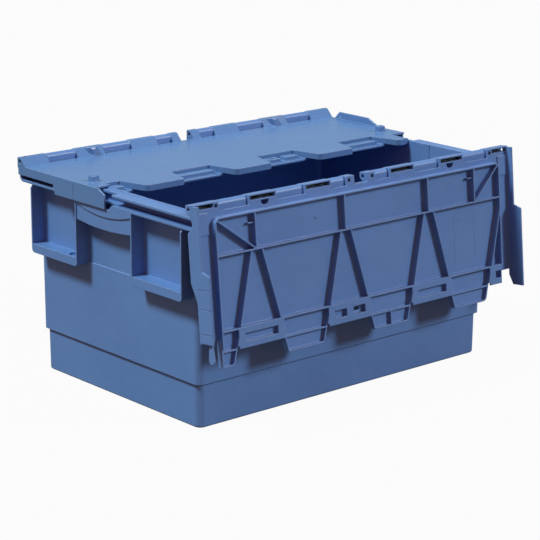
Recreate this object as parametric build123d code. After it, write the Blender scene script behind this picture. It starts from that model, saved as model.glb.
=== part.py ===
from build123d import *
import os

# Attached-lid transport box: an open-topped tote with two interlocking lids that
# swing on steel rods along its long sides and hang outside the walls when open.
# Frame: millimetres, +Z up, origin at the centre of the underside. X runs along
# the long side. The lids are one moulding used twice, turned half a turn about Z.
# Each lid is drawn closed, over the -Y half; "across" is the distance from its
# hinge-side edge towards the middle of the box.

# ---- overall sizes ----
LENGTH = 600.0            # over the lid skirts
WIDTH = 400.0             # over the hinge knuckles
HEIGHT = 320.0            # underside to the top of the knuckles
CLEARANCE = 1.0           # moulded parts that pass each other
SEAT_GAP = 0.5            # under a closed lid, where it would rest
LAP = 1.0                 # how far solids that join, and cuts, run into each other
WALL = 2.8
FLOOR = 4.0
HALF_W = WIDTH / 2

# ---- heights from the hinge knuckles down ----
KNUCKLE_R = 6.0
PLATE_DROP = 12.5         # knuckle tops to the lid plate
PLATE_T = 3.0
PLATE_TOP_Z = HEIGHT - PLATE_DROP
PLATE_LOW_Z = PLATE_TOP_Z - PLATE_T
PAD_T = 1.5               # extra thickness of the plate over the rim corners
LIP_Z = PLATE_LOW_Z - SEAT_GAP
END_RIM_Z = PLATE_LOW_Z - PAD_T - SEAT_GAP
SIDE_RIM_DROP = 3.5       # lid plate to the side rim
SIDE_RIM_Z = PLATE_LOW_Z - SIDE_RIM_DROP
RIM_H = 17.0              # side rim over the underside of the lower flange
LOWER_FLANGE_Z = SIDE_RIM_Z - RIM_H

# ---- rim ----
SKIRT_T = 2.5
END_PLANE = LENGTH / 2 - SKIRT_T - CLEARANCE    # outer face of rim, pockets and grips
SIDE_PLANE = HALF_W
LIP_T = 2.2
FLANGE_T = 3.5
RIM_CORNER_R = 8.0
RIM_SIDE_R = 7.5          # ends of the side rims
RIM_END_WALL = 2.8
RIM_WEB = 2.2
RIM_RIB_T = 2.4
LATCH_HALF = 22.5         # latch cut-out in the end rim, half width at the top
LATCH_LOW_HALF = 14.0
LATCH_LOW_Z = LOWER_FLANGE_Z - 4.0
LATCH_DEPTH = 12.0

# ---- tote shell ----
END_REACH = 21.3          # rim beyond the end walls
SIDE_REACH = 17.6         # rim beyond the side walls
STEP_IN = 4.3             # lower part, which sits inside the lid rim of the box below
STEP_Z = 63.5
UPPER_LENGTH = 2 * (END_PLANE - END_REACH)
UPPER_WIDTH = 2 * (SIDE_PLANE - SIDE_REACH)
UPPER_FLARE = 1.0         # each side, from the step to the rim
LOWER_LENGTH = UPPER_LENGTH - 2 * STEP_IN
LOWER_WIDTH = UPPER_WIDTH - 2 * STEP_IN
LOWER_FLARE = 0.5         # each side, from the floor to the step
CORNER_R = 11.0
BOTTOM_EDGE_R = 3.0
FLOOR_CORNER_R = 5.0
PANEL_Z = LOWER_FLANGE_Z - 96.0    # end walls are set back above this height
PANEL_RECESS = 1.2
PANEL_GROOVE = 0.8        # narrow groove where the set-back starts

# ---- end pockets ----
POCKET_INNER = 63.0       # side of a pocket next to the grip, from the middle
POCKET_OUTER = UPPER_WIDTH / 2 - 8.4
POCKET_WALL = 2.5
POCKET_Z = LOWER_FLANGE_Z - 101.0
SHELF_H = 13.0
SHELF_T = 2.5
POCKET_CORNER_R = 6.0
POCKET_CHAMFER = 5.0
DRAIN_R = 20.0            # quarter-round rib on the shelf
DRAIN_T = 1.4
DRAIN_H = 2.6

# ---- grips ----
GRIP_T = 2.6
GRIP_SET_BACK = 1.8
GRIP_TOP_END_Z = LOWER_FLANGE_Z - 6.5
GRIP_TOP_MID_Z = LOWER_FLANGE_Z - 16.5
GRIP_LOW_END_Z = LOWER_FLANGE_Z - 31.0
GRIP_LOW_MID_Z = LOWER_FLANGE_Z - 35.5
GRIP_BULGE = 1.0          # inner swell of the end wall behind the grip
GRIP_BULGE_HALF = POCKET_INNER + 5.0

# ---- hinge ----
ROD_R = 2.75
ROD_FIT = 0.08            # running clearance on the radius
HINGE_Y = HALF_W - KNUCKLE_R
HINGE_Z = HEIGHT - KNUCKLE_R
HINGE_GAP = 0.6           # end play between knuckles
OPEN_ANGLE = 264.5        # swing from closed to hanging
STOP_GAP = 0.3
NOTCH_HALF = 12.5         # gap in the hinge at the middle of the box
INNER_KNUCKLE = 14.5      # lid knuckle beside the notch
MAIN_KNUCKLE = 48.0       # the two next ones
END_KNUCKLE = 43.5        # the outermost one
MAIN_START = 56.5
END_START = LENGTH / 2 - END_KNUCKLE
MAIN_PITCH = (END_START - MAIN_START) / 2
LID_STARTS = (NOTCH_HALF, MAIN_START, MAIN_START + MAIN_PITCH, END_START)
LID_LENGTHS = (INNER_KNUCKLE, MAIN_KNUCKLE, MAIN_KNUCKLE, END_KNUCKLE)
LID_ENDS = [start + length for start, length in zip(LID_STARTS, LID_LENGTHS)]
BODY_STARTS = [end + HINGE_GAP for end in LID_ENDS[:-1]]
BODY_ENDS = [start - HINGE_GAP for start in LID_STARTS[1:]]
ROD_START = NOTCH_HALF + 3.0
ROD_END = LENGTH / 2 - 12.0

# ---- lid: ribs and teeth ----
RIB_T = 2.2
RIB_DEPTH = 9.0           # below the plate
RIB_Z = PLATE_LOW_Z - RIB_DEPTH
LEDGE_T = 2.5
LEDGE_GAP = 0.6           # between a ledge and the other lid's tooth above it
TIP_RIB_DEPTH = RIB_DEPTH - LEDGE_T - LEDGE_GAP
FRAME_HALF = UPPER_LENGTH / 2 - WALL - 0.9      # outer faces of the end ribs
FRAME_ACROSS = HALF_W - (UPPER_WIDTH / 2 - WALL + UPPER_FLARE) + 1.2
FRAME_CORNER = 5.0        # its corners are cut off beside the tote's rounded corners
MID_ACROSS = 72.0         # middle rib
GAP_SLOPE = 0.264         # half width gained by a gap per mm across
GAP_BEYOND = 12.35        # centre of the outermost gap, beyond the rib frame
GAP_PITCH = (FRAME_HALF + GAP_BEYOND) / (7 / 4)
GAP_CENTRES = [(i - 5 / 4) * GAP_PITCH for i in range(4)]
TOOTH_SIDE_GAP = 2.5      # along X, between a tooth and the gap it closes into
GAP_APEX = (WIDTH - (GAP_PITCH / 2 + TOOTH_SIDE_GAP) / GAP_SLOPE) / 2   # where its sides meet
LEAN = (1 + GAP_SLOPE ** 2) ** 0.5
BASE_ACROSS = HALF_W - 25.0                     # bottom of the gaps between teeth
TIP_ACROSS = WIDTH - BASE_ACROSS - 1.5
LEDGE_ACROSS = HALF_W + 1.6
LEDGE_NOSE_HALF = GAP_PITCH / 4 - CLEARANCE / 2
DEEP_ACROSS = WIDTH - LEDGE_ACROSS - CLEARANCE  # full-depth ribs stop here
LEDGE_END = FRAME_HALF - RIB_T - CLEARANCE      # passes inside the other lid's half tooth
CORNER_NODE = FRAME_HALF - 54.5                 # where the far corner brace meets the middle rib
NUB_ACROSS = 36.0
NUB_LENGTH = 11.0
NUB_DEPTH = 6.0
NUB_T = 1.5
TOOTH_R_NEAR = 3.0
TOOTH_R_FAR = 7.0
TOOTH_R_LEAST = 1.0
BAR_TOP_Z = PLATE_LOW_Z - 0.9
BAR_NEAR = HALF_W - 19.6
BAR_FAR = HALF_W - 5.6
BAR_SIDE_GAP = 1.6        # along X, between a bar and the rim of the tooth over it
BAR_HALF = GAP_PITCH / 2 - GAP_SLOPE * (WIDTH - BAR_NEAR - GAP_APEX) - RIB_T * LEAN - BAR_SIDE_GAP
BAR_WALL = 1.4
EYELET_L = 11.0
EYELET_W = 5.0
EYELET_RISE = 5.0         # middle web between the short bar and the eyelet bar

# ---- lid: hinge side ----
PLATE_EDGE = 2 * KNUCKLE_R + 0.9
KNUCKLE_FLAT = KNUCKLE_R + 2.0       # top of a lid knuckle, before it slopes down
KNUCKLE_END = PLATE_EDGE + 7.0       # foot of that slope on the plate
WINDOW_NEAR = 2.0         # slot under each lid knuckle that shows the rod
WINDOW_FAR = KNUCKLE_FLAT - 0.5
BACK_WALL = 2.0
KNUCKLE_ROOF = 2.4
KNUCKLE_WEB = 2.2
KNUCKLE_EDGE_R = 2.5
KNUCKLE_BACK_R = 4.0      # between the top and the slope
POCKET_SQUARE = 5.0
SCOOP_X = LID_STARTS[2] + 20.5
SCOOP_R = 9.1
SCOOP_WALL = 1.9

# ---- lid: skirts and what stands on the plate ----
SKIRT_OUT = LENGTH / 2
SKIRT_IN = SKIRT_OUT - SKIRT_T
SKIRT_START = 1.5
SKIRT_SHALLOW = 13.0
SKIRT_DEEP = 27.0
SKIRT_STEP = (87.5, 92.0)
SEAM_SIZE = 0.7
TICK_H = 5.0              # short seam below the top edge of each skirt
TICK_ACROSS = 49.0
LONG_SEAMS = (136.0,)
SHORT_SEAMS = (111.0, 137.5, 171.0)
END_STRIP_END = HALF_W - 14.5        # plate beyond the end ribs, clear of the other lid's tongue
LONG_SKIRT_END = HALF_W + 9.5
SKIRT_NOSE = 14.0
SKIRT_NOSE_H = 7.5
PAD_ACROSS = 42.0
UPSTAND_Z = PLATE_TOP_Z + 11.0
UPSTAND_ACROSS = (27.0, 39.0, 105.0, 134.0)
BLOCK_X = SKIRT_IN - 20.5
BLOCK_HALF = 6.0
BLOCK_NEAR = BASE_ACROSS - 25.0
BLOCK_WIDE = 10.0
BLOCK_H = 9.0
BLOCK_CHAMFER = 1.5

# ---- latch tongue ----
TONGUE_T = 2.5
TONGUE_NECK = 2.2         # half width beside the slits
TONGUE_HEAD = 5.5
TONGUE_ROOT = HALF_W - LATCH_HALF + 2.5
TONGUE_END = HALF_W + LATCH_HALF - 10.5
TONGUE_Z = PLATE_TOP_Z - 16.5
TONGUE_ROOT_Z = LOWER_FLANGE_Z + FLANGE_T
SHORT_SKIRT_END = TONGUE_ROOT + 4.0


def block(x0, x1, y0, y1, z0, z1):
    """A box between two corners."""
    centre = ((x0 + x1) / 2, (y0 + y1) / 2, (z0 + z1) / 2)
    return Pos(*centre) * Box(abs(x1 - x0), abs(y1 - y0), abs(z1 - z0))


def upright(face, z0, z1):
    """A prism on a plan outline."""
    return Pos(0, 0, z0) * extrude(face, z1 - z0, dir=(0, 0, 1))


def along_x(face, x0, x1):
    """A prism along X from a face drawn with (y, z)."""
    turned = Plane.YZ.offset(x0) * face
    return extrude(turned, x1 - x0, dir=(1, 0, 0))


def along_y(face, y0, y1):
    """A prism along Y from a face drawn with (x, z)."""
    turned = Plane((0, y0, 0), x_dir=(1, 0, 0), z_dir=(0, -1, 0)) * face
    return extrude(turned, y1 - y0, dir=(0, 1, 0))


def rounded(length, height, radius, cx, cz):
    return Pos(cx, cz) * RectangleRounded(length, height, radius)


def flared(length, width, z0, z1, flare, radius):
    """A rounded box whose sides lean out by the flare."""
    low = Pos(0, 0, z0) * RectangleRounded(length, width, radius)
    high = Pos(0, 0, z1) * RectangleRounded(length + 2 * flare, width + 2 * flare, radius)
    return loft([low, high], ruled=True)


def join(solids):
    """One part from several solids."""
    return Part() + list(solids)


def mirrored_ends(solid):
    return join([solid, mirror(solid, Plane.YZ)])


def mirrored_sides(solid):
    return join([solid, mirror(solid, Plane.XZ)])


def all_corners(solid):
    return mirrored_sides(mirrored_ends(solid))


# ---- tote ----
def shell():
    lower = flared(LOWER_LENGTH, LOWER_WIDTH, 0, STEP_Z, LOWER_FLARE, CORNER_R)
    lower = fillet(lower.edges().group_by(Axis.Z)[0], BOTTOM_EDGE_R)
    upper = flared(UPPER_LENGTH, UPPER_WIDTH, STEP_Z, END_RIM_Z, UPPER_FLARE, CORNER_R)
    return lower + upper


def cavity():
    inner_r = CORNER_R - WALL
    lower = flared(LOWER_LENGTH - 2 * WALL, LOWER_WIDTH - 2 * WALL, FLOOR, STEP_Z + WALL,
                   LOWER_FLARE, inner_r)
    upper = flared(UPPER_LENGTH - 2 * WALL, UPPER_WIDTH - 2 * WALL, STEP_Z + WALL, LIP_Z + WALL,
                   UPPER_FLARE, inner_r)
    lower = fillet(lower.edges().group_by(Axis.Z)[0], FLOOR_CORNER_R)
    inner_end = UPPER_LENGTH / 2 - WALL + UPPER_FLARE
    bulge = block(inner_end - GRIP_BULGE, END_PLANE, -GRIP_BULGE_HALF, GRIP_BULGE_HALF,
                  STEP_Z, LIP_Z + WALL)
    return lower + (upper - mirrored_ends(bulge))


def end_panels():
    """What the end walls lose above the panel line, and the groove along it."""
    wall_x = UPPER_LENGTH / 2 + UPPER_FLARE / 2
    half = UPPER_WIDTH / 2
    panel = block(wall_x - PANEL_RECESS, END_PLANE, -half, half, PANEL_Z, LOWER_FLANGE_Z)
    groove = block(wall_x - PANEL_RECESS, END_PLANE, CORNER_R - half, half - CORNER_R,
                   PANEL_Z - PANEL_GROOVE, PANEL_Z)
    return mirrored_ends(panel + groove)


def rim():
    """Channel-shaped flanges round the mouth, with ribs behind the hinge sides."""
    inner_x = UPPER_LENGTH / 2 - WALL
    inner_y = UPPER_WIDTH / 2 - WALL
    end_h = END_RIM_Z - LOWER_FLANGE_Z
    end_mid = (END_RIM_Z + LOWER_FLANGE_Z) / 2
    end = along_x(rounded(WIDTH, end_h, RIM_CORNER_R, 0, end_mid), inner_x, END_PLANE)
    slot = along_x(rounded(WIDTH - 2 * RIM_END_WALL, end_h - 2 * FLANGE_T,
                           RIM_CORNER_R - FLANGE_T, 0, end_mid),
                   UPPER_LENGTH / 2 + UPPER_FLARE + RIM_WEB, END_PLANE)
    side_h = SIDE_RIM_Z - LOWER_FLANGE_Z
    side_mid = (SIDE_RIM_Z + LOWER_FLANGE_Z) / 2
    side = along_y(rounded(2 * END_PLANE, side_h, RIM_SIDE_R, 0, side_mid), inner_y, SIDE_PLANE)
    rib_x = [0.0]
    for start, stop in zip(BODY_STARTS, BODY_ENDS):
        rib_x += [start + RIM_RIB_T / 2, stop - RIM_RIB_T / 2]
    rib_x.append(inner_x)
    web_y = UPPER_WIDTH / 2 + UPPER_FLARE + RIM_WEB
    bays = [block(a + RIM_RIB_T / 2, b - RIM_RIB_T / 2, web_y, SIDE_PLANE,
                  LOWER_FLANGE_Z + FLANGE_T, SIDE_RIM_Z - FLANGE_T)
            for a, b in zip(rib_x, rib_x[1:])]
    lip = block(inner_x, inner_x + UPPER_FLARE + LIP_T, -inner_y, inner_y, SIDE_RIM_Z, LIP_Z)
    solid = join([mirrored_ends(end), mirrored_ends(lip), mirrored_sides(side)])
    return solid - mirrored_ends(slot) - all_corners(join(bays))


def sag_face(end_z, mid_z, other_z, half):
    """A face in (y, z) between a sagging edge and a straight one."""
    edge = ThreePointArc((-half, end_z), (0, mid_z), (half, end_z))
    rest = Polyline((half, end_z), (half, other_z), (-half, other_z), (-half, end_z))
    return make_face([edge, rest])


def grip():
    """Hand grip between two pockets, with the drooping lip of the rim above it."""
    reach = POCKET_INNER + POCKET_WALL / 2
    plate_out = END_PLANE - GRIP_SET_BACK
    top_z = LOWER_FLANGE_Z + LAP
    plate = along_x(sag_face(GRIP_LOW_END_Z, GRIP_LOW_MID_Z, top_z, reach),
                    plate_out - GRIP_T, plate_out)
    lip = along_x(sag_face(GRIP_TOP_END_Z, GRIP_TOP_MID_Z, top_z, reach),
                  plate_out - GRIP_T, END_PLANE)
    return plate + lip


def latch_cut():
    """Cut-out in the end rim for the lids' latch tongues."""
    outline = Polygon((-LATCH_LOW_HALF, LATCH_LOW_Z), (LATCH_LOW_HALF, LATCH_LOW_Z),
                      (LATCH_HALF, LOWER_FLANGE_Z + FLANGE_T), (LATCH_HALF, LIP_Z),
                      (-LATCH_HALF, LIP_Z), (-LATCH_HALF, LOWER_FLANGE_Z + FLANGE_T), align=None)
    return along_x(outline, END_PLANE - LATCH_DEPTH, END_PLANE + LAP)


def pocket():
    """One open-fronted pocket, hung under the rim at +X, +Y."""
    wall_x = UPPER_LENGTH / 2 - PANEL_RECESS
    width = POCKET_OUTER - POCKET_INNER
    middle = (POCKET_OUTER + POCKET_INNER) / 2
    height = LOWER_FLANGE_Z + LAP - POCKET_Z
    outer = along_x(Pos(middle, POCKET_Z + height / 2) * Rectangle(width, height), wall_x, END_PLANE)
    low_edges = outer.edges().filter_by(Axis.X).group_by(Axis.Z)[0]
    outer = fillet(low_edges, POCKET_CORNER_R)
    y0 = POCKET_INNER + POCKET_WALL
    y1 = POCKET_OUTER - POCKET_WALL
    back = wall_x - LAP
    front = END_PLANE + LAP
    outer -= block(back, front, y0, y1, POCKET_Z + SHELF_H, LOWER_FLANGE_Z)
    under = block(back, END_PLANE - POCKET_WALL, y0, y1, POCKET_Z - LAP,
                  POCKET_Z + SHELF_H - SHELF_T)
    under = fillet(under.edges().filter_by(Axis.Z), POCKET_WALL)
    outer -= under
    nose = Polygon((END_PLANE - POCKET_CHAMFER, LOWER_FLANGE_Z), (front, LOWER_FLANGE_Z),
                   (front, LOWER_FLANGE_Z - POCKET_CHAMFER - LAP), align=None)
    return outer - along_y(nose, y1 - LAP, POCKET_OUTER + LAP)


def drain_rib():
    """Quarter-round rib on the shelf, in the corner beside the grip."""
    shelf_z = POCKET_Z + SHELF_H
    corner = Pos(END_PLANE - POCKET_WALL, POCKET_INNER + POCKET_WALL, shelf_z)
    ring = Cylinder(DRAIN_R, 2 * DRAIN_H) - Cylinder(DRAIN_R - DRAIN_T, 2 * DRAIN_H)
    wedge = Pos(-DRAIN_R / 2, DRAIN_R / 2, 0) * Box(DRAIN_R, DRAIN_R, 2 * DRAIN_H)
    return corner * (ring & wedge)


def body_knuckles():
    """Hinge knuckles that stand on the side rims."""
    solids = []
    for start, stop in zip(BODY_STARTS, BODY_ENDS):
        barrel = Pos((start + stop) / 2, HINGE_Y, HINGE_Z) * Rot(0, 90, 0) * Cylinder(
            KNUCKLE_R, stop - start)
        post = block(start, stop, HINGE_Y - KNUCKLE_R, HINGE_Y + KNUCKLE_R,
                     SIDE_RIM_Z - FLANGE_T / 2, HINGE_Z)
        solids += [barrel, post]
    return all_corners(join(solids))


def rod_bore():
    return Pos(0, HINGE_Y, HINGE_Z) * Rot(0, 90, 0) * Cylinder(ROD_R + ROD_FIT, LENGTH)


def container_body():
    drain = mirror(drain_rib(), Plane.YZ)
    outside = [shell() - end_panels(), rim(), all_corners(pocket()), mirrored_ends(grip()),
               drain, Rot(0, 0, 180) * drain]
    body = join(outside) - mirrored_ends(latch_cut()) - cavity()
    return body + body_knuckles() - mirrored_sides(rod_bore())


# ---- lid, closed over the -Y half ----
def across(v):
    return v - HALF_W


def gap_half(v):
    return GAP_SLOPE * (v - GAP_APEX)


def plan(points, z0, z1):
    """A prism on an outline of (x, across) points."""
    return upright(Polygon(*[(x, across(v)) for x, v in points], align=None), z0, z1)


def strip(x0, x1, v0, v1, z0, z1):
    return block(x0, x1, across(v0), across(v1), z0, z1)


def rib(start, stop, z0, thickness=RIB_T):
    """A straight rib under the plate between two (x, across) points."""
    (xa, va), (xb, vb) = start, stop
    length = ((xb - xa) ** 2 + (vb - va) ** 2) ** 0.5
    nx = (vb - va) / length * thickness / 2
    nv = -(xb - xa) / length * thickness / 2
    outline = [(xa + nx, va + nv), (xb + nx, vb + nv), (xb - nx, vb - nv), (xa - nx, va - nv)]
    return plan(outline, z0, PLATE_LOW_Z + PLATE_T / 2)


def tooth_outline(left, right, inset, start):
    """Plan face of one tooth tip from a start line out, between two gap centres."""
    v1 = TIP_ACROSS - inset
    slant = inset * LEAN
    x = {}
    for v in (start, v1):
        low = left + gap_half(v) + slant if left is not None else inset - FRAME_HALF
        x[v] = (low, right - gap_half(v) - slant)
    corners = [(x[start][0], start), (x[start][1], start), (x[v1][1], v1), (x[v1][0], v1)]
    face = Polygon(*[(px, across(v)) for px, v in corners], align=None)
    tip = face.vertices().group_by(Axis.Y)[-1].sort_by(Axis.X)
    face = fillet(tip[1], max(TOOTH_R_FAR - inset, TOOTH_R_LEAST))
    if left is not None:
        tip = face.vertices().group_by(Axis.Y)[-1].sort_by(Axis.X)
        face = fillet(tip[0], max(TOOTH_R_NEAR - inset, TOOTH_R_LEAST))
    return face


def teeth():
    """Teeth: a plate, and round the tip a rim with a rib across its root.

    The middle tooth also has an upright, which drops between the two bars of the other lid."""
    bounds = [None] + GAP_CENTRES
    depth = TIP_RIB_DEPTH
    solids = []
    for left, right in zip(bounds, bounds[1:]):
        top = upright(tooth_outline(left, right, 0, BASE_ACROSS), PLATE_LOW_Z, PLATE_TOP_Z)
        ring_face = tooth_outline(left, right, 0, DEEP_ACROSS) \
            - tooth_outline(left, right, RIB_T, DEEP_ACROSS - RIB_T)
        ring = upright(ring_face, PLATE_LOW_Z - depth, PLATE_LOW_Z + PLATE_T / 2)
        root_left = left + gap_half(LEDGE_ACROSS) if left is not None else RIB_T / 2 - FRAME_HALF
        root_right = right - gap_half(LEDGE_ACROSS)
        root = rib((root_left, LEDGE_ACROSS), (root_right, LEDGE_ACROSS), PLATE_LOW_Z - depth)
        solids.append(top + ring + root)
    middle = (GAP_CENTRES[1] + GAP_CENTRES[2]) / 2
    solids.append(rib((middle, LEDGE_ACROSS), (middle, TIP_ACROSS - RIB_T / 2),
                      PLATE_LOW_Z - depth))
    return solids


def gap_walls():
    """Full-depth ribs from the middle rib down both sides of each gap."""
    solids = []
    for centre in GAP_CENTRES:
        for side in (-1, 1):
            inner = [(centre + side * gap_half(v), v) for v in (MID_ACROSS, DEEP_ACROSS)]
            outer = [(x + side * RIB_T * LEAN, v) for x, v in reversed(inner)]
            solids.append(plan(inner + outer, RIB_Z, PLATE_LOW_Z + PLATE_T / 2))
    inside_frame = strip(-FRAME_HALF, FRAME_HALF, 0, DEEP_ACROSS, 0, HEIGHT)
    return [wall & inside_frame for wall in solids[:-1]]


def gap_outline(centre, v0, v1):
    """Trapezoid of a gap between two lines, reaching into its walls, or clipped at its open end."""
    points = []
    for v, side in ((v0, -1), (v0, 1), (v1, 1), (v1, -1)):
        x = centre + side * (gap_half(v) + RIB_T / 2)
        points.append((min(x, LEDGE_END), v))
    return points


def bar(x0, x1):
    """A hollow raised bar on a ledge, open underneath."""
    outer = strip(x0, x1, BAR_NEAR, BAR_FAR, RIB_Z + LEDGE_T / 2, BAR_TOP_Z)
    inner = strip(x0 + BAR_WALL, x1 - BAR_WALL, BAR_NEAR + BAR_WALL, BAR_FAR - BAR_WALL,
                  RIB_Z, BAR_TOP_Z - BAR_WALL)
    return outer, inner


def ledges():
    """Low ledges in the gaps, under the other lid's teeth, with their raised bars."""
    solids = []
    for index, centre in enumerate(GAP_CENTRES):
        root = gap_outline(centre, BASE_ACROSS - RIB_T, DEEP_ACROSS)
        nose_end = min(centre + LEDGE_NOSE_HALF, LEDGE_END)
        nose = strip(centre - LEDGE_NOSE_HALF, nose_end, BASE_ACROSS, LEDGE_ACROSS,
                     RIB_Z, RIB_Z + LEDGE_T)
        ledge = plan(root, RIB_Z, RIB_Z + LEDGE_T) + nose
        if index == 3:
            bars = [bar(centre - BAR_HALF, LEDGE_END)]
        elif index == 1:
            bars = [bar(centre - BAR_HALF, centre - EYELET_RISE),
                    bar(centre + EYELET_RISE, centre + BAR_HALF)]
        else:
            bars = [bar(centre - BAR_HALF, centre + BAR_HALF)]
        for outer, inner in bars:
            ledge = ledge + outer - inner
        if index == 1:
            middle = centre + (EYELET_RISE + BAR_HALF) / 2
            hole = Pos(middle, across((BAR_NEAR + BAR_FAR) / 2)) * SlotOverall(EYELET_L, EYELET_W)
            ledge -= upright(hole, 0, HEIGHT)
        solids.append(ledge)
    return solids


def plate():
    """Flat top of the lid, up to the gap bottoms."""
    main = strip(-SKIRT_OUT, SKIRT_OUT, PLATE_EDGE, BASE_ACROSS, PLATE_LOW_Z, PLATE_TOP_Z)
    tooth_end = strip(-SKIRT_OUT, RIB_T / 2 - FRAME_HALF, BASE_ACROSS, END_STRIP_END,
                      PLATE_LOW_Z, PLATE_TOP_Z)
    gap_end = strip(FRAME_HALF + CLEARANCE, SKIRT_OUT, BASE_ACROSS, END_STRIP_END,
                    PLATE_LOW_Z, PLATE_TOP_Z)
    return join([main, tooth_end, gap_end])


def frame_ribs():
    """Rib frame, cross ribs, uprights and corner braces under the plate."""
    x = FRAME_HALF - RIB_T / 2
    top = FRAME_ACROSS + RIB_T / 2
    base = BASE_ACROSS - RIB_T / 2
    corner_x = x - FRAME_CORNER
    corner_v = top + FRAME_CORNER
    lines = [((-corner_x, top), (corner_x, top)), ((-x, MID_ACROSS), (x, MID_ACROSS)),
             ((-x, base), (x, base))]
    for side, node, last in ((-1, GAP_CENTRES[0], DEEP_ACROSS), (1, CORNER_NODE, BASE_ACROSS)):
        lines += [((side * x, corner_v), (side * x, last)),
                  ((side * x, corner_v), (side * corner_x, top)),
                  ((side * (x - FRAME_CORNER / 2), top + FRAME_CORNER / 2), (node, MID_ACROSS))]
    uprights = GAP_CENTRES[:3] + [CORNER_NODE]
    lines += [((node, top), (node, MID_ACROSS)) for node in uprights]
    ribs = [rib(a, b, RIB_Z) for a, b in lines]
    nub_z = PLATE_LOW_Z - NUB_DEPTH
    ribs += [rib((node - NUB_LENGTH, NUB_ACROSS), (node, NUB_ACROSS), nub_z, NUB_T)
             for node in (GAP_CENTRES[0], CORNER_NODE)]
    return ribs


def knuckle_block(start, stop):
    """One lid knuckle with rounded top edges, which slopes down onto the plate."""
    outline = [(0, PLATE_LOW_Z), (KNUCKLE_END, PLATE_LOW_Z), (KNUCKLE_END, PLATE_TOP_Z),
               (KNUCKLE_FLAT, HEIGHT), (0, HEIGHT)]
    face = Polygon(*[(across(v), z) for v, z in outline], align=None)
    solid = along_x(face, start, stop)
    top = solid.edges().filter_by(Axis.X).group_by(Axis.Z)[-1].sort_by(Axis.Y)
    solid = fillet(top[0], KNUCKLE_EDGE_R)
    back = solid.edges().filter_by(Axis.X).group_by(Axis.Z)[-1].sort_by(Axis.Y)
    return fillet(back[-1], KNUCKLE_BACK_R)


def knuckle_window(start, stop, roof_z):
    return strip(start, stop, WINDOW_NEAR, WINDOW_FAR, PLATE_LOW_Z - LAP, roof_z)


def square_pocket(x):
    half = POCKET_SQUARE / 2
    return strip(x - half, x + half, KNUCKLE_R - half, KNUCKLE_R + half, PLATE_LOW_Z - LAP,
                 HINGE_Z)


def scoop():
    """Half-round shell beside a knuckle: it rests on the side rim when the lid hangs.

    Its top is rounded about the hinge, so that it clears the rim all the way round."""
    swing_r = HINGE_Z - SIDE_RIM_Z - STOP_GAP
    centre = across(KNUCKLE_R + swing_r - SCOOP_R)
    height = HEIGHT - PLATE_LOW_Z
    back = WINDOW_FAR + BACK_WALL
    outer = Pos(SCOOP_X, centre, PLATE_LOW_Z + height / 2) * Cylinder(SCOOP_R, height)
    swing = Pos(SCOOP_X, -HINGE_Y, HINGE_Z) * Rot(0, 90, 0) * Cylinder(swing_r, 2 * SCOOP_R)
    below = strip(0, LENGTH, 0, TIP_ACROSS, 0, HINGE_Z)
    keep = strip(0, LENGTH, back - BACK_WALL / 2, TIP_ACROSS, 0, HEIGHT)
    inner_h = height - KNUCKLE_ROOF
    inner = Pos(SCOOP_X, centre, PLATE_LOW_Z + inner_h / 2) * Cylinder(SCOOP_R - SCOOP_WALL, inner_h)
    wall = Pos(SCOOP_X, -HINGE_Y, HINGE_Z) * Rot(0, 90, 0) * Cylinder(swing_r - SCOOP_WALL, LENGTH)
    room = strip(0, LENGTH, back, TIP_ACROSS, PLATE_LOW_Z - LAP, HEIGHT)
    return outer & keep & (swing + below), inner & room & (wall + below)


def hinge_side():
    """Lid knuckles of one half: solids to add and cuts to make."""
    roof_z = HEIGHT - KNUCKLE_ROOF
    adds = [knuckle_block(a, b) for a, b in zip(LID_STARTS, LID_ENDS)]
    cuts = [knuckle_window(a + KNUCKLE_WEB, b - KNUCKLE_WEB, roof_z)
            for a, b in zip(LID_STARTS[1:3], LID_ENDS[1:3])]
    inner_pocket = LID_ENDS[0] - KNUCKLE_WEB - POCKET_SQUARE / 2
    outer_pocket = LID_STARTS[3] + KNUCKLE_WEB + POCKET_SQUARE / 2
    cuts += [square_pocket(inner_pocket), square_pocket(outer_pocket)]
    last_start = outer_pocket + POCKET_SQUARE / 2 + KNUCKLE_WEB
    last_stop = LID_ENDS[3] - KNUCKLE_WEB - SKIRT_T / 2
    cuts.append(knuckle_window(last_start, last_stop, roof_z))
    cuts.append(knuckle_window(ROD_END - LAP, last_stop, HEIGHT + LAP))
    bump, hollow = scoop()
    return adds + [bump], cuts + [hollow]


def seam(side, v, low_z):
    """A fine groove in a skirt's outer face."""
    return block(side * (SKIRT_OUT - SEAM_SIZE), side * (SKIRT_OUT + LAP), across(v),
                 across(v + SEAM_SIZE), low_z, PLATE_TOP_Z - SEAM_SIZE)


def skirt(side, seams, end_outline):
    """End skirt: shallow beside the hinge, deep towards the middle."""
    shallow_z = PLATE_TOP_Z - SKIRT_SHALLOW
    deep_z = PLATE_TOP_Z - SKIRT_DEEP
    outline = [(SKIRT_START, PLATE_TOP_Z), (SKIRT_START, shallow_z), (SKIRT_STEP[0], shallow_z),
               (SKIRT_STEP[1], deep_z)] + end_outline(deep_z)
    face = Polygon(*[(across(v), z) for v, z in outline], align=None)
    x0, x1 = (SKIRT_IN, SKIRT_OUT) if side > 0 else (-SKIRT_OUT, -SKIRT_IN)
    solid = along_x(face, x0, x1) - seam(side, TICK_ACROSS, PLATE_TOP_Z - TICK_H)
    for v in seams:
        solid -= seam(side, v, deep_z - LAP)
    return solid


def long_end(deep_z):
    return [(LONG_SKIRT_END, deep_z), (LONG_SKIRT_END, PLATE_TOP_Z - SKIRT_NOSE_H),
            (LONG_SKIRT_END - SKIRT_NOSE, PLATE_TOP_Z)]


def short_end(deep_z):
    return [(SHORT_SKIRT_END, deep_z), (SHORT_SKIRT_END, PLATE_TOP_Z)]


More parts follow.
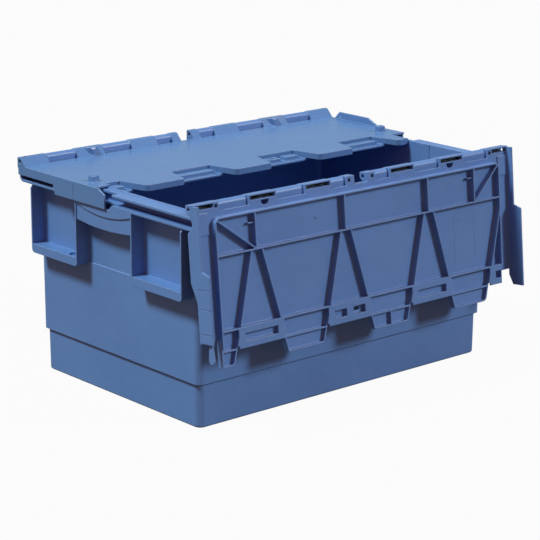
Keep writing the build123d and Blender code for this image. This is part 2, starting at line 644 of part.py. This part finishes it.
def latch_tongue():
    """Tear-drop snap tongue at the end of the short skirt, in the plane inside the long one."""
    x1 = -(END_PLANE - CLEARANCE / 2)
    x0 = x1 + TONGUE_T
    root_y = across(TONGUE_ROOT)
    head_y = across(TONGUE_END - TONGUE_HEAD)
    drop = Polygon((root_y, TONGUE_Z - TONGUE_NECK), (root_y, TONGUE_Z + TONGUE_NECK),
                   (head_y, TONGUE_Z + TONGUE_HEAD), (head_y, TONGUE_Z - TONGUE_HEAD), align=None)
    drop += Pos(head_y, TONGUE_Z) * Circle(TONGUE_HEAD)
    tongue = along_x(drop, x1, x0)
    root = block(-SKIRT_OUT + SKIRT_T / 2, x0, root_y, across(SHORT_SKIRT_END),
                 TONGUE_ROOT_Z, TONGUE_Z + TONGUE_HEAD)
    return tongue + root


def end_upstand():
    """Low wall that stands on the lid along its short-skirt end."""
    v0, v1, v2, v3 = UPSTAND_ACROSS
    low = PLATE_TOP_Z - PLATE_T / 2
    outline = [(v0, low), (v1, UPSTAND_Z), (v2, UPSTAND_Z), (v3, low)]
    return along_x(Polygon(*[(across(v), z) for v, z in outline], align=None), -SKIRT_OUT, -SKIRT_IN)


def corner_pads():
    """Slightly thicker plate over the rim corners."""
    lip_clear = UPPER_LENGTH / 2 - WALL + LIP_T + UPPER_FLARE + CLEARANCE
    pad = strip(lip_clear, SKIRT_IN, PLATE_EDGE, PAD_ACROSS, PLATE_LOW_Z - PAD_T, PLATE_LOW_Z)
    return mirrored_ends(pad)


def stacking_blocks():
    one = strip(BLOCK_X - BLOCK_HALF, BLOCK_X + BLOCK_HALF, BLOCK_NEAR, BLOCK_NEAR + BLOCK_WIDE,
                PLATE_TOP_Z - PLATE_T / 2, PLATE_TOP_Z + BLOCK_H)
    top = one.faces().sort_by(Axis.Z)[-1]
    return mirrored_ends(chamfer(top.edges(), BLOCK_CHAMFER))


def lid():
    """The whole lid moulding, closed."""
    adds, cuts = hinge_side()
    pieces = [plate()] + teeth() + gap_walls() + ledges() + frame_ribs()
    pieces += [skirt(-1, SHORT_SEAMS, short_end), skirt(1, LONG_SEAMS, long_end)]
    pieces += [latch_tongue(), end_upstand(), corner_pads(), stacking_blocks()]
    solid = join(pieces) + mirrored_ends(join(adds)) - mirrored_ends(join(cuts))
    return solid - mirror(rod_bore(), Plane.XZ)


# ---- assembly ----
def hinge_rod(side_x, side_y):
    middle = side_x * (ROD_START + ROD_END) / 2
    return Pos(middle, side_y * HINGE_Y, HINGE_Z) * Rot(0, 90, 0) * Cylinder(
        ROD_R, ROD_END - ROD_START)


def swung_open(solid):
    """The front lid turned about its hinge until it hangs outside the wall."""
    hinge = Location((0, -HINGE_Y, HINGE_Z))
    return hinge * Rot(OPEN_ANGLE, 0, 0) * hinge.inverse() * solid


def main():
    os.makedirs("parts", exist_ok=True)
    closed_lid = lid()
    nodes = {
        "container_body": container_body(),
        "front_lid": swung_open(closed_lid),
        "rear_lid": Rot(0, 0, 180) * closed_lid,
        "hinge_rod_front_left": hinge_rod(-1, -1),
        "hinge_rod_front_right": hinge_rod(1, -1),
        "hinge_rod_rear_left": hinge_rod(-1, 1),
        "hinge_rod_rear_right": hinge_rod(1, 1),
    }
    for name, shape in nodes.items():
        export_step(shape, f"parts/{name}.step")
        print(name, round(shape.volume), shape.bounding_box().size)


main()
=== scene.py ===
# %% [markdown]
# # A blue attached-lid transport box
# The box is a moulded tote with two interlocking lids. The lids swing on steel rods along
# the long sides. One lid is closed, the other hangs open outside the front wall.
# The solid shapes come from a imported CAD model. This lesson dresses them: it adds the fine
# moulding marks, mixes the materials and lights the box.

# %% [markdown]
# ## Load the solid model
# Every CAD piece is already at its real place, in metres. It is never moved or reshaped
# here, so everything that is added later can take its place from the same numbers.

# %% Load the solid model
import bpy
from math import cos, pi, radians, sin
from mathutils import Matrix, Vector


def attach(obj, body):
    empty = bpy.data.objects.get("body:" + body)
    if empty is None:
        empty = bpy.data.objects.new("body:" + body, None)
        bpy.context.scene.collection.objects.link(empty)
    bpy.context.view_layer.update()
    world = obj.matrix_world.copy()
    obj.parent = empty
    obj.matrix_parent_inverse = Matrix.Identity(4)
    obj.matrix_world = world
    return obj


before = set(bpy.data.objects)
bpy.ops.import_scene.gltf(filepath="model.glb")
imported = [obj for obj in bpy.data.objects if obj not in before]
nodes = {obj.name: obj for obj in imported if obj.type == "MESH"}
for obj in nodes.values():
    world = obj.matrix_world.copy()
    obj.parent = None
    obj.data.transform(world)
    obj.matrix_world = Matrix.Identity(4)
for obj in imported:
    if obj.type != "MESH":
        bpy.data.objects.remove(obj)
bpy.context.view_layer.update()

# %% [markdown]
# ## Sizes of the box
# A few sizes are used again and again: the hinge line, the lid plate and the rib frame
# under it. They are named once, in metres, so that a mark on the lid says where it lies
# in words. "Across" is the distance from a lid's hinge-side edge.

# %% Sizes of the box
MM = 0.001
HALF_WIDTH = 200 * MM
HINGE_Y = 194 * MM
HINGE_Z = 314 * MM
PLATE_TOP = 307.5 * MM
PLATE_LOW = 304.5 * MM
TOOTH_REACH = 23.5 * MM
GAP_SLOPE = 0.264
GAP_APEX = 41.67 * MM
GAP_NODES = [x * MM for x in (-202.75, -40.55, 121.65, 283.85)]
OPEN_TURN = radians(264.5)
print("lid plate", round(PLATE_LOW, 4), "to", round(PLATE_TOP, 4))

# %% [markdown]
# ## From a closed lid to each real lid
# Both lids are the same moulding. A mark is made once, on a lid that lies closed over the
# front half, and is then carried to each lid by a matrix: half a turn for the rear lid,
# and the swing about the hinge line for the lid that hangs open.

# %% From a closed lid to each real lid
HINGE = Matrix.Translation((0, -HINGE_Y, HINGE_Z))
LID_PLACES = {
    "front_lid": HINGE @ Matrix.Rotation(OPEN_TURN, 4, "X") @ HINGE.inverted(),
    "rear_lid": Matrix.Rotation(pi, 4, "Z"),
}
for lid_name, place in LID_PLACES.items():
    tip = place @ Vector((0, TOOTH_REACH, PLATE_LOW))
    print(lid_name, "tooth tip lands at", [round(c, 4) for c in tip])

# %% [markdown]
# ## Camera
# The box is seen from its front left corner and a little from above, through a long lens,
# which keeps its long edges nearly parallel. The camera is placed by its position and its
# three angles, so the same view comes back each time.

# %% Camera
CAMERA_AT = Vector((-1.8914, -2.1861, 0.9277))
AZIMUTH, ELEVATION, ROLL = radians(-41.02), radians(15.249), radians(0.235)
lens = bpy.data.cameras.new("camera")
lens.sensor_width = 36
lens.lens = 134.15
lens.clip_end = 50
camera = bpy.data.objects.new("camera", lens)
backwards = Vector((sin(AZIMUTH) * cos(ELEVATION), -cos(AZIMUTH) * cos(ELEVATION), sin(ELEVATION)))
turn = backwards.to_track_quat("Z", "Y").to_matrix().to_4x4() @ Matrix.Rotation(ROLL, 4, "Z")
camera.matrix_world = Matrix.Translation(CAMERA_AT) @ turn
bpy.context.scene.collection.objects.link(camera)
bpy.context.scene.camera = camera
print("camera distance", round(CAMERA_AT.length, 3))

# %% [markdown]
# ## A small language for materials
# A material is a tree of nodes. Written one by one, the maths nodes hide what they mean.
# `Value` wraps a node's socket so that `1 - dust` in Python adds the right nodes, and
# `Recipe.node` makes any other node from its type, its settings and its sockets.

# %% A small language for materials
class Value:
    """A socket that can be used in sums."""

    def __init__(self, recipe, socket):
        self.recipe, self.socket = recipe, socket

    def maths(self, operation, first, second):
        return self.recipe.node("ShaderNodeMath", {"operation": operation}, {0: first, 1: second})

    def __add__(self, other):
        return self.maths("ADD", self, other)

    def __sub__(self, other):
        return self.maths("SUBTRACT", self, other)

    def __rsub__(self, other):
        return self.maths("SUBTRACT", other, self)

    def __mul__(self, other):
        return self.maths("MULTIPLY", self, other)

    __radd__ = __add__
    __rmul__ = __mul__


class Recipe:
    """The tree of nodes of one material, or of the world."""

    def __init__(self, owner):
        owner.use_nodes = True
        self.owner, self.tree = owner, owner.node_tree
        self.tree.nodes.clear()

    def node(self, kind, settings, sockets, output=0):
        made = self.tree.nodes.new(kind)
        for key, value in settings.items():
            setattr(made, key, value)
        for key, value in sockets.items():
            if isinstance(value, Value):
                self.tree.links.new(value.socket, made.inputs[key])
            else:
                made.inputs[key].default_value = value
        return Value(self, made.outputs[output]) if made.outputs else made

    def blend(self, factor, first, second):
        """One colour fading into another."""
        return self.node("ShaderNodeMix", {"data_type": "RGBA"},
                         {0: factor, 6: first, 7: second}, 2)

    def noise(self, place, scale, detail=2.0, rough=0.5):
        return self.node("ShaderNodeTexNoise", {},
                         {"Vector": place, "Scale": scale, "Detail": detail, "Roughness": rough})

    def fade(self, value, start, end):
        """0 at start, 1 at end, smooth between."""
        return self.node("ShaderNodeMapRange", {"interpolation_type": "SMOOTHSTEP"},
                         {"Value": value, "From Min": start, "From Max": end})


print("materials can now be written as sums")

# %% [markdown]
# ## Moulded blue plastic
# The tote and the lids are polypropylene. It is even in colour, with a fine grain from the
# mould, broad soft drifts where the melt flowed, and small scuffs from use. Its edges are
# rounded by about a millimetre. They could be bevelled in the mesh, but a thin-walled
# moulding has thousands of them, so the Bevel node rounds the shading instead. The same
# node tells where the edges are, and they are made paler there: mostly a painted highlight
# on every edge, with a little real wear where the scuffs fall.

# %% Moulded blue plastic
EDGE_ROUND = 1.1 * MM
GRAIN_DEPTH = 0.25 * MM
SHEEN_AND_DUST_EDGE = 0.3 * MM        # dust and painted sheen fade out this far below the plate's top


def moulded_plastic(name, deep, pale, gloss, with_dust_and_sheen=False):
    recipe = Recipe(bpy.data.materials.new(name))
    place = recipe.node("ShaderNodeTexCoord", {}, {}, "Object")
    face = recipe.node("ShaderNodeNewGeometry", {}, {}, "Normal")
    rounded = recipe.node("ShaderNodeBevel", {"samples": 8}, {"Radius": EDGE_ROUND})
    alike = recipe.node("ShaderNodeVectorMath", {"operation": "DOT_PRODUCT"},
                        {0: rounded, 1: face}, "Value")
    edge = recipe.fade(1 - alike, 0.01, 0.25)
    drift = recipe.noise(place, 6, 3)
    mottle = recipe.noise(place, 75, 4, 0.6)
    grain = recipe.noise(place, 1300, 2)
    brushed = recipe.node("ShaderNodeMapping", {}, {"Vector": place, "Scale": (4, 90, 90)})
    scuff = recipe.fade(recipe.noise(brushed, 5, 5, 0.7), 0.62, 0.72) * recipe.fade(drift, 0.5, 0.7)
    body = recipe.blend(recipe.fade(drift, 0.3, 0.7) * 0.6 + recipe.fade(mottle, 0.3, 0.7) * 0.25,
                        deep, pale)
    # Painted highlight: every edge is made paler; only the scuff share is real wear.
    highlit_worn_colour = recipe.blend(edge * 0.7 + scuff * 0.12, body, EDGE_HIGHLIGHT_AND_WEAR)
    roughness = gloss + scuff * 0.12 + (mottle - 0.5) * 0.12 + grain * 0.04
    if with_dust_and_sheen:
        dust_and_sheen = dust_and_sheen_film(recipe, place)
        # Painted sheen: pale patches on the top, partly real dust.
        highlit_worn_colour = recipe.blend(dust_and_sheen * 0.4, highlit_worn_colour, DUST_AND_SHEEN)
        roughness = roughness + dust_and_sheen * 0.2
    bump = recipe.node("ShaderNodeBump", {}, {
        "Strength": 0.22, "Distance": GRAIN_DEPTH, "Height": grain * 0.4 + mottle,
        "Normal": rounded})
    skin = recipe.node("ShaderNodeBsdfPrincipled", {}, {
        "Base Color": highlit_worn_colour, "Roughness": roughness, "Normal": bump, "IOR": 1.49})
    recipe.node("ShaderNodeOutputMaterial", {}, {"Surface": skin})
    return recipe.owner


def dust_and_sheen_film(recipe, place):
    """Soft pale patches on the closed lid's top: partly settled dust, partly a painted sheen."""
    height = recipe.node("ShaderNodeSeparateXYZ", {}, {"Vector": place}, "Z")
    cloud = recipe.noise(place, 5.5, 4, 0.6)
    return recipe.fade(cloud, 0.53, 0.70) * recipe.fade(height, PLATE_TOP - SHEEN_AND_DUST_EDGE, PLATE_TOP)


# Pale edge colour: mostly a painted highlight, partly real wear.
EDGE_HIGHLIGHT_AND_WEAR = (0.24, 0.42, 0.72, 1)
# Patch colour: settled dust and a painted sheen.
DUST_AND_SHEEN = (0.26, 0.23, 0.19, 1)
DEEP_BLUE = (0.087, 0.205, 0.470, 1)
PALE_BLUE = (0.106, 0.238, 0.525, 1)
# Painted shade: the closed lid's blues are darker copies of the open lid's, though both lids are
# the same moulding.
REAR_LID_SHADED_DEEP_BLUE = (0.080, 0.196, 0.430, 1)
REAR_LID_SHADED_PALE_BLUE = (0.092, 0.216, 0.462, 1)
tote_blue = moulded_plastic("tote_blue", DEEP_BLUE, PALE_BLUE, 0.36)
lid_blue = moulded_plastic("lid_blue", DEEP_BLUE, PALE_BLUE, 0.33)
# The closed lid's plastic: painted shade in its darker blues, plus dust and a painted sheen on its
# top.
shaded_dust_sheen_lid = moulded_plastic("shaded_dust_sheen_lid_blue", REAR_LID_SHADED_DEEP_BLUE, REAR_LID_SHADED_PALE_BLUE, 0.24,
                             with_dust_and_sheen=True)
print("plastics", tote_blue.name, lid_blue.name, shaded_dust_sheen_lid.name)

# %% [markdown]
# ## Dark steel of the hinge rods
# The rods are plain drawn steel with a thin film of oil and dirt. Drawing leaves fine
# streaks along a rod, so the noise is stretched along X.

# %% Dark steel of the hinge rods
def drawn_steel(name):
    recipe = Recipe(bpy.data.materials.new(name))
    place = recipe.node("ShaderNodeTexCoord", {}, {}, "Object")
    along = recipe.node("ShaderNodeMapping", {}, {"Vector": place, "Scale": (30, 900, 900)})
    streak = recipe.noise(along, 1, 3, 0.6)
    grime = recipe.fade(recipe.noise(place, 60, 4, 0.6), 0.4, 0.65)
    colour = recipe.blend(grime, (0.07, 0.062, 0.055, 1), (0.02, 0.015, 0.012, 1))
    bump = recipe.node("ShaderNodeBump", {}, {"Strength": 0.2, "Distance": 0.05 * MM,
                                              "Height": streak})
    steel = recipe.node("ShaderNodeBsdfPrincipled", {}, {
        "Base Color": colour, "Metallic": 1.0, "Normal": bump,
        "Roughness": streak * 0.15 + grime * 0.25 + 0.25})
    recipe.node("ShaderNodeOutputMaterial", {}, {"Surface": steel})
    return recipe.owner


rod_steel = drawn_steel("drawn_steel")
print("metal", rod_steel.name)

# %% [markdown]
# ## Dress the solid pieces
# Each solid keeps its shape and gets its finish through its own material slot.

# %% Dress the solid pieces
FINISHES = {"container_body": tote_blue, "front_lid": lid_blue, "rear_lid": shaded_dust_sheen_lid}
for name, node in nodes.items():
    node.material_slots[0].material = FINISHES.get(name, rod_steel)
    print(name, "wears", node.material_slots[0].material.name)

# %% [markdown]
# ## Marks that repeat: studs on points
# A mould leaves small round marks where its ejector pins push the part out, and a nub
# where the plastic was injected. They are the same low cone again and again, so a
# Geometry Nodes tree puts one on each point that it is given. Its radii and height are
# named inputs, and the copies are made real at the end.

# %% Marks that repeat: studs on points
def new_tree(name, sizes):
    """A Geometry Nodes tree with a geometry input, named sizes and a geometry output."""
    tree = bpy.data.node_groups.new(name, "GeometryNodeTree")
    tree.interface.new_socket("Geometry", in_out="INPUT", socket_type="NodeSocketGeometry")
    for size_name, kind in sizes:
        tree.interface.new_socket(size_name, in_out="INPUT", socket_type=kind)
    tree.interface.new_socket("Geometry", in_out="OUTPUT", socket_type="NodeSocketGeometry")
    return tree, tree.nodes.new("NodeGroupInput"), tree.nodes.new("NodeGroupOutput")


def add(tree, kind, sockets):
    made = tree.nodes.new(kind)
    for key, value in sockets.items():
        if isinstance(value, bpy.types.NodeSocket):
            tree.links.new(value, made.inputs[key])
        else:
            made.inputs[key].default_value = value
    return made


def stud_tree():
    """One low cone on each point."""
    tree, given, result = new_tree("studs_on_points", [
        ("Tip Radius", "NodeSocketFloat"), ("Base Radius", "NodeSocketFloat"),
        ("Height", "NodeSocketFloat"), ("Turn", "NodeSocketRotation"),
        ("Finish", "NodeSocketMaterial")])
    cone = add(tree, "GeometryNodeMeshCone", {
        "Vertices": 20, "Radius Top": given.outputs["Tip Radius"],
        "Radius Bottom": given.outputs["Base Radius"], "Depth": given.outputs["Height"]})
    studs = add(tree, "GeometryNodeInstanceOnPoints", {
        "Points": given.outputs["Geometry"], "Instance": cone.outputs["Mesh"],
        "Rotation": given.outputs["Turn"]})
    real = add(tree, "GeometryNodeRealizeInstances", {"Geometry": studs.outputs["Instances"]})
    dressed = add(tree, "GeometryNodeSetMaterial", {
        "Geometry": real.outputs["Geometry"], "Material": given.outputs["Finish"]})
    tree.links.new(dressed.outputs["Geometry"], result.inputs["Geometry"])
    return tree


STUDS = stud_tree()
print("tree", STUDS.name, "with", len(STUDS.nodes), "nodes")

# %% [markdown]
# ## From a tree to a finished piece
# A piece starts as bare points or lines. The tree turns them into a real mesh, the mesh is
# carried to its lid, and the finished object sits at the origin with its place in its mesh.

# %% From a tree to a finished piece
def grow(name, tree, sizes, points, edges, body, place=Matrix()):
    """Run a tree on points and edges, make it a plain mesh, and let it ride on a body."""
    seed = bpy.data.meshes.new(name + "_seed")
    seed.from_pydata([tuple(p) for p in points], edges, [])
    holder = bpy.data.objects.new(name + "_holder", seed)
    bpy.context.scene.collection.objects.link(holder)
    modifier = holder.modifiers.new("tree", "NODES")
    modifier.node_group = tree
    for item in tree.interface.items_tree:
        if item.in_out == "INPUT" and item.name in sizes:
            modifier[item.identifier] = sizes[item.name]
    ready = holder.evaluated_get(bpy.context.evaluated_depsgraph_get())
    mesh = bpy.data.meshes.new_from_object(ready)
    bpy.data.objects.remove(holder)
    mesh.name = name
    mesh.transform(place)
    piece = bpy.data.objects.new(name, mesh)
    bpy.context.scene.collection.objects.link(piece)
    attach(piece, body)
    print(name, len(mesh.polygons), "faces on", body)


def lid_point(x, across, z):
    """A point on a closed lid over the front half."""
    return (x, across - HALF_WIDTH, z)


print("hinge-side corner of a lid", lid_point(0, 0, PLATE_LOW))

# %% [markdown]
# ## Ejector marks and the gate nub under the lids
# Beside the foot of each leaning rib the plate carries a flat round mark. One nub, between
# the hinge ribs, shows where the plastic came in. Both lie on the underside of the plate.

# %% Ejector marks and the gate nub under the lids
MARK_ACROSS = 170 * MM
MARK_BESIDE = 4.5 * MM
GATE_AT = (-88 * MM, 48 * MM)
SUNK = 0.3 * MM
for lid_name, place in LID_PLACES.items():
    reach = GAP_SLOPE * (MARK_ACROSS - GAP_APEX) + MARK_BESIDE
    marks = [lid_point(x - reach, MARK_ACROSS, PLATE_LOW + SUNK) for x in GAP_NODES]
    grow(lid_name + "_ejector_marks", STUDS,
         {"Tip Radius": 2.4 * MM, "Base Radius": 2.5 * MM, "Height": SUNK + 0.25 * MM,
          "Turn": (pi, 0, 0), "Finish": FINISHES[lid_name]},
         marks, [], lid_name, place)
    grow(lid_name + "_gate_nub", STUDS,
         {"Tip Radius": 0.9 * MM, "Base Radius": 2.2 * MM, "Height": SUNK + 1.4 * MM,
          "Turn": (pi, 0, 0), "Finish": FINISHES[lid_name]},
         [lid_point(*GATE_AT, PLATE_LOW + SUNK)], [], lid_name, place)

# %% [markdown]
# ## Ejector marks on the tote's floor
# Inside the tote, two rows of larger round marks lie on the floor. They are the first thing
# that shows the floor's scale when the box is empty.

# %% Ejector marks on the tote's floor
FLOOR_TOP = 4 * MM
floor_marks = [(x * MM, y * MM, FLOOR_TOP - SUNK)
               for x in (-225, -135, -45, 45, 135, 225) for y in (-130, 0, 130)]
grow("tote_floor_marks", STUDS,
     {"Tip Radius": 5.8 * MM, "Base Radius": 6 * MM, "Height": SUNK + 0.3 * MM,
      "Turn": (0, 0, 0), "Finish": tote_blue}, floor_marks, [], "container")

# %% [markdown]
# ## Fine lines: beads along a path
# A mould insert leaves a hair-thin raised outline on the plastic. It is a path with a round
# section swept along it, so a second tree turns loose edges into curves and gives them a
# thin profile.

# %% Fine lines: beads along a path
def bead_tree():
    """A thin round bead along every edge."""
    tree, given, result = new_tree("beads_on_edges", [
        ("Radius", "NodeSocketFloat"), ("Finish", "NodeSocketMaterial")])
    path = add(tree, "GeometryNodeMeshToCurve", {"Mesh": given.outputs["Geometry"]})
    ring = add(tree, "GeometryNodeCurvePrimitiveCircle", {
        "Resolution": 8, "Radius": given.outputs["Radius"]})
    swept = add(tree, "GeometryNodeCurveToMesh", {
        "Curve": path.outputs["Curve"], "Profile Curve": ring.outputs["Curve"],
        "Fill Caps": True})
    dressed = add(tree, "GeometryNodeSetMaterial", {
        "Geometry": swept.outputs["Mesh"], "Material": given.outputs["Finish"]})
    tree.links.new(dressed.outputs["Geometry"], result.inputs["Geometry"])
    return tree


BEADS = bead_tree()
print("tree", BEADS.name, "with", len(BEADS.nodes), "nodes")

# %% [markdown]
# ## Outline of the mould insert
# The outline is a rectangle under the plate near the long skirt. Its four corners are joined
# by four edges, and the beads run along those.

# %% Outline of the mould insert
INSERT = (180 * MM, 222 * MM, 93 * MM, 154 * MM)
for lid_name, place in LID_PLACES.items():
    x0, x1, v0, v1 = INSERT
    corners = [lid_point(x, v, PLATE_LOW) for x, v in ((x0, v0), (x1, v0), (x1, v1), (x0, v1))]
    grow(lid_name + "_insert_outline", BEADS, {"Radius": 0.2 * MM, "Finish": FINISHES[lid_name]},
         corners, [(0, 1), (1, 2), (2, 3), (3, 0)], lid_name, place)

# %% [markdown]
# ## Floor
# The floor carries the box's shadow. To the camera most of its brightness is a plain white
# glow, so it reads white without any light being turned up. The rest is a matt surface on
# which the shadow falls. That surface is dark grey, so it throws little light back up at
# the walls, and their shaded parts stay deep.

# %% Floor
GLOW_SHARE = 0.96
FLOOR_REACH = 14.0


def seen_as(recipe, kind):
    """1 for the rays of one kind, such as the camera's own, and 0 for all others."""
    return recipe.node("ShaderNodeLightPath", {}, {}, kind)


def pale_floor(name):
    recipe = Recipe(bpy.data.materials.new(name))
    place = recipe.node("ShaderNodeTexCoord", {}, {}, "Object")
    paper = recipe.blend(recipe.noise(place, 3, 3), (0.12, 0.12, 0.12, 1), (0.15, 0.15, 0.15, 1))
    matt = recipe.node("ShaderNodeBsdfDiffuse", {}, {"Color": paper})
    glow = recipe.node("ShaderNodeEmission", {}, {"Color": (1, 1, 1, 1), "Strength": 1.0})
    mixed = recipe.node("ShaderNodeMixShader", {},
                        {0: seen_as(recipe, "Is Camera Ray") * GLOW_SHARE, 1: matt, 2: glow})
    recipe.node("ShaderNodeOutputMaterial", {}, {"Surface": mixed})
    return recipe.owner


floor_mesh = bpy.data.meshes.new("floor")
floor_mesh.from_pydata([(x * FLOOR_REACH, y * FLOOR_REACH, 0)
                        for x, y in ((-1, -1), (1, -1), (1, 1), (-1, 1))], [], [(0, 1, 2, 3)])
floor_mesh.materials.append(pale_floor("pale_floor"))
floor = bpy.data.objects.new("floor", floor_mesh)
bpy.context.scene.collection.objects.link(floor)
print("floor", FLOOR_REACH * 2, "m across")

# %% [markdown]
# ## Light
# The key light stands high on the left and a little behind the box, so tops are brightest,
# the left end is next and the ribs' left sides fall into shade. A weaker light comes from
# the right front and throws the teeth's shadows down to the left. Both are cool. The world
# adds a low warm glow, which tints the shadows. A reflection sees a cooler grey instead,
# which gives the flat tops their pale sheen, and the camera sees plain white.

# %% Light
def soft_sun(name, direction, power, spread, colour):
    """A wide, soft light that comes from a direction."""
    lamp = bpy.data.lights.new(name, "SUN")
    lamp.energy, lamp.angle, lamp.color = power, radians(spread), colour
    thing = bpy.data.objects.new(name, lamp)
    thing.rotation_euler = Vector(direction).to_track_quat("Z", "Y").to_euler()
    bpy.context.scene.collection.objects.link(thing)
    print(name, power)


soft_sun("key_light", (-0.555, 0.20, 0.807), 3.45, 12, (0.92, 1.0, 0.98))
soft_sun("front_light", (0.49, -0.715, 0.50), 2.05, 14, (0.88, 0.94, 0.98))

world = bpy.data.worlds.new("studio")
bpy.context.scene.world = world
sky = Recipe(world)
dim = sky.node("ShaderNodeBackground", {}, {"Color": (0.46, 0.16, 0.11, 1), "Strength": 1.0})
grey = sky.node("ShaderNodeBackground", {}, {"Color": (0.30, 0.36, 0.40, 1), "Strength": 1.0})
white = sky.node("ShaderNodeBackground", {}, {"Color": (1, 1, 1, 1), "Strength": 1.0})
around = sky.node("ShaderNodeMixShader", {}, {0: seen_as(sky, "Is Glossy Ray"), 1: dim, 2: grey})
shown = sky.node("ShaderNodeMixShader", {}, {0: seen_as(sky, "Is Camera Ray"), 1: around, 2: white})
sky.node("ShaderNodeOutputWorld", {}, {"Surface": shown})
bpy.context.scene.view_settings.view_transform = "Standard"
